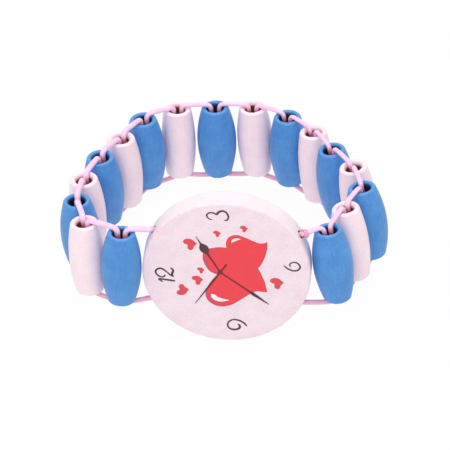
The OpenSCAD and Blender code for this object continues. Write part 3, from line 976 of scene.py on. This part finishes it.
SIX = [
    [[0.12, 0.48, 0.07], [-0.07, 0.35, 0.1], [-0.23, 0.17, 0.11], [-0.34, -0.04, 0.11], [-0.34, -0.26, 0.11],
     [-0.23, -0.42, 0.11], [-0.07, -0.47, 0.11], [0.11, -0.41, 0.1], [0.24, -0.26, 0.1], [0.26, -0.09, 0.09],
     [0.2, 0.06, 0.09], [0.07, 0.12, 0.08], [-0.05, 0.05, 0.07]],
]
NINE = [
    [[-0.17, -0.48, 0.07], [0.01, -0.39, 0.1], [0.18, -0.24, 0.1], [0.29, -0.05, 0.1], [0.33, 0.16, 0.09],
     [0.26, 0.35, 0.09], [0.11, 0.47, 0.09], [-0.08, 0.48, 0.09], [-0.22, 0.38, 0.1], [-0.29, 0.2, 0.11],
     [-0.27, 0, 0.12], [-0.17, -0.11, 0.12], [-0.04, -0.1, 0.1], [0.04, -0.02, 0.07]],
]
figures = [
    (ONE, [-0.07, 0.95], 0.86),
    (TWO, [0.07, 0.96], 0.95),
    (THREE, [1.035, -0.01], 1.1),
    (SIX, [-0.01, -0.995], 0.85),
    (NINE, [-1.025, 0], 1.0),
]


def inked_line(points, base, ends=0.05):
    """A pen stroke through points of three columns, the last one its width, with round ends."""
    line = curved(points)
    s = np.linspace(0, 1, len(line))
    round_off = np.sqrt(np.clip(np.minimum(s, 1 - s) / ends, 0.02, 1))
    return band(line[:, :2], line[:, 2] / 2 * round_off, base, ink_film)


numeral_parts = []
for strokes, place, size in figures:
    for layer, stroke in enumerate(strokes):
        drawn = numeral_h * size * np.array(stroke) + [*(numeral_ring_r * np.array(place)), 0]
        numeral_parts.append(inked_line(drawn, layer * stroke_step - ink_sink))
numerals = printed("pen_numerals", numeral_parts, dark_ink, "numerals")
note(numerals.data, "over_red", np.zeros(len(numerals.data.vertices)))

# %% [markdown]
# ## The hearts
#
# Two large hearts with curled tips overlap in the middle, and seven small ones scatter round them. The
# large pair is one outline of five smooth sides that meet in corners: the two notches, the two tips and
# the corner between the tips. An outline becomes a thin pillow by drawing it again and again, smaller
# and smaller, towards a middle point that sees all of it. The red is a little duller along the left
# flank of each lobe, and all over the small hearts, where the printer put down less of it.

# %% Print the hearts
large_hearts_w = 18.8 * mm
large_hearts_place = np.array([-0.02, -0.12])
LARGE_HEARTS = [
    [[0.33, 0.05], [0.415, 0.04], [0.48, -0.015], [0.49, -0.1], [0.44, -0.19], [0.395, -0.255],
     [0.355, -0.325], [0.35, -0.38], [0.365, -0.415]],
    [[0.365, -0.415], [0.285, -0.405], [0.17, -0.365], [0.07, -0.31], [0.015, -0.26]],
    [[0.015, -0.26], [-0.07, -0.285], [-0.195, -0.31], [-0.325, -0.315]],
    [[-0.325, -0.315], [-0.31, -0.255], [-0.3, -0.195], [-0.325, -0.125], [-0.395, -0.005], [-0.455, 0.11],
     [-0.47, 0.225], [-0.425, 0.32], [-0.34, 0.375], [-0.235, 0.37], [-0.12, 0.3], [-0.025, 0.21]],
    [[-0.025, 0.21], [0.04, 0.29], [0.155, 0.33], [0.25, 0.33], [0.325, 0.28], [0.345, 0.19],
     [0.345, 0.115], [0.33, 0.05]],
]
large_hearts_eye = np.array([0.046, -0.015])
small_heart_w = 2.9 * mm
SMALL_HEART = [
    [[0, 0.18], [0.09, 0.37], [0.28, 0.47], [0.46, 0.34], [0.51, 0.05], [0.4, -0.21], [0.2, -0.37],
     [0.03, -0.52]],
    [[0.03, -0.52], [-0.13, -0.36], [-0.25, -0.24], [-0.45, -0.15], [-0.51, 0.06], [-0.35, 0.21],
     [-0.15, 0.2], [0, 0.18]],
]
top_ring_shares = [0.02, 0.3, 0.6, 0.75, 0.85, 0.9, 0.94, 0.965, 0.985]
low_ring_shares = [0.985, 0.94, 0.85, 0.6, 0.3, 0.02]
flank_marks = [0, 0, 0, 0, 0.2, 0.75, 1, 1, 1, 1, 1, 1, 0.2, 0, 0, 0]
flank_slope, flank_start = 2.2, 0.4
film_edge_power = 48
small_dull = 0.5
small_hearts = [
    ([0.55, 0.49], 1.0, 1),
    ([0.7, 0.05], 0.56, 1),
    ([0.75, -0.37], 0.57, 1),
    ([0.05, 0.4], 0.54, 1),
    ([-0.13, 0.48], 0.82, 1),
    ([-0.28, 0.74], 0.97, -1),
    ([-0.31, -0.72], 1.0, 1),
]


def closed_outline(sides):
    """One closed line round several smooth sides, each of which starts at the corner that ends another."""
    return np.vstack([curved(side)[:-1] for side in sides])


def pillow(outline, middle, base, film):
    """A flat closed outline as a thin shell: its rings shrink towards a middle point, on top and below,
    and the film rounds off at its edge."""
    s = np.array(top_ring_shares + [1.0] + low_ring_shares)
    side = np.array([1] * len(top_ring_shares) + [0] + [-1] * len(low_ring_shares))
    high = base + film / 2 * (1 + side * (1 - s ** film_edge_power) ** 0.5)
    flat = middle + s[:, None, None] * (outline - middle)[None]
    points = np.concatenate([flat, np.broadcast_to(high[:, None, None], (*flat.shape[:2], 1))], -1)
    points = points.reshape(-1, 3)
    poles = np.array([[*middle, base + film], [*middle, base]])
    return np.concatenate([points, poles]), with_poles(points, len(outline))


def flank(outline, middle, points):
    """1 on the rings of a pillow near the side of its outline that faces the print's top."""
    out = unit(points[:-2, :2] - middle)
    rim = np.repeat(np.array(flank_marks), len(outline))
    return np.r_[rim * np.clip(out[:, 1] * flank_slope - flank_start, 0, 1), 0, 0]


hearts_middle = numeral_ring_r * large_hearts_place
large_outline = large_hearts_w * closed_outline(LARGE_HEARTS) + hearts_middle
heart_shapes = [(large_outline, hearts_middle + large_hearts_w * large_hearts_eye)]
for share, size, way in small_hearts:
    place = numeral_ring_r * np.array(share)
    heart_shapes.append((small_heart_w * size * closed_outline(SMALL_HEART) * [way, 1] + place, place))
heart_parts = [pillow(outline, middle, -ink_sink, ink_film) for outline, middle in heart_shapes]
hearts = printed("printed_hearts", heart_parts, red_ink, "hearts")
dull = [
    flank(outline, middle, points) for (outline, middle), (points, _) in zip(heart_shapes, heart_parts)]
note(hearts.data, "dull", np.concatenate([dull[0]] + [np.maximum(part, small_dull) for part in dull[1:]]))

# %% [markdown]
# ## The hands
#
# The hands are printed too, so they never move: a short one with a round drop and a thin spike, a long
# one with a slim leaf, and a hairline for the seconds with a blunt tail. Each is one stroke whose width
# is listed along its length. The ink isn't quite opaque, so where a hand crosses a heart it turns a dark
# red.

# %% Print the hands
hub_share = np.array([-0.015, 0.11])
hub_middle = hub_share * numeral_ring_r
hub_r = 0.6 * mm
hub_wobble_share = 0.08
hand_base = 0.02 * mm
HANDS = [
    (-69, [(0, 0.36), (3, 0.4), (5, 0.5), (5.5, 0.8), (6.1, 1.6), (6.9, 1.9), (7.5, 1.6), (8.1, 0.75),
           (8.5, 0.36), (9.3, 0.24), (10.4, 0.1)]),
    (-226, [(0, 0.42), (1.5, 0.34), (5, 0.4), (7.6, 0.46), (8.2, 0.74), (9.3, 0.72), (10.6, 0.52),
            (12, 0.3), (13, 0.12)]),
    (-311, [(-2.5, 0.46), (-2, 0.44), (-0.6, 0.4), (1, 0.4), (3, 0.5), (4.4, 0.46), (6, 0.34), (8, 0.22),
            (9.9, 0.14)]),
]


def turned_flat(points, degrees):
    """Flat points turned about the origin."""
    c, s = np.cos(np.radians(degrees)), np.sin(np.radians(degrees))
    return points @ np.array([[c, s], [-s, c]])


def inside(outline, points):
    """For each point, whether a ray from it crosses the closed outline an odd number of times."""
    start, stop = outline[None], np.roll(outline, -1, 0)[None]
    x, y = points[:, None, 0], points[:, None, 1]
    level = (start[..., 1] > y) != (stop[..., 1] > y)
    rise = np.where(level, stop[..., 1] - start[..., 1], 1)
    cross_x = start[..., 0] + (y - start[..., 1]) / rise * (stop[..., 0] - start[..., 0])
    return (np.sum(level & (x < cross_x), axis=1) % 2).astype(float)


hand_parts = []
for layer, (clock, widths) in enumerate(HANDS):
    along, wide = curved(np.array(widths) * mm, 12).T
    line = turned_flat(np.column_stack([0 * along, along]), clock) + hub_middle
    hand_parts.append(band(line, wide / 2, hand_base + layer * stroke_step, ink_film))
w = np.linspace(0, 2 * np.pi, 48, endpoint=False)
hub_reach = hub_r * (1 + hub_wobble_share * np.cos(3 * w))
hub_outline = hub_middle + np.column_stack([hub_reach * np.cos(w), hub_reach * np.sin(w)])
hand_parts.append(pillow(hub_outline, hub_middle, hand_base + len(HANDS) * stroke_step, ink_film))
hands = printed("printed_hands", hand_parts, dark_ink, "hands")
over_red = [inside(large_outline, points[:, :2]) for points, _ in hand_parts]
note(hands.data, "over_red", np.concatenate(over_red))

# %% [markdown]
# ## The highlights
#
# Each large heart has one white comma on a lobe, left bare by the red plate. It lies between two curves
# that share their ends.

# %% Leave the two highlights
highlight_margin = 0.02 * mm
highlight_base = 0.01 * mm
HIGHLIGHTS = [
    ([[0.391, -0.017], [0.432, -0.031], [0.447, -0.076], [0.429, -0.127]],
     [[0.391, -0.017], [0.408, -0.052], [0.421, -0.089], [0.429, -0.127]]),
    ([[-0.282, 0.316], [-0.331, 0.314], [-0.376, 0.28], [-0.398, 0.219], [-0.389, 0.127]],
     [[-0.282, 0.316], [-0.293, 0.28], [-0.325, 0.257], [-0.357, 0.203], [-0.389, 0.127]]),
]
highlight_parts = []
for outer, inner in HIGHLIGHTS:
    outer, inner = (hearts_middle + large_hearts_w * curved(side, 12) for side in (outer, inner))
    half = np.linalg.norm(outer - inner, axis=1) / 2 + highlight_margin
    highlight_parts.append(band((outer + inner) / 2, half, highlight_base, ink_film))
printed("bare_highlights", highlight_parts, bare_gloss)
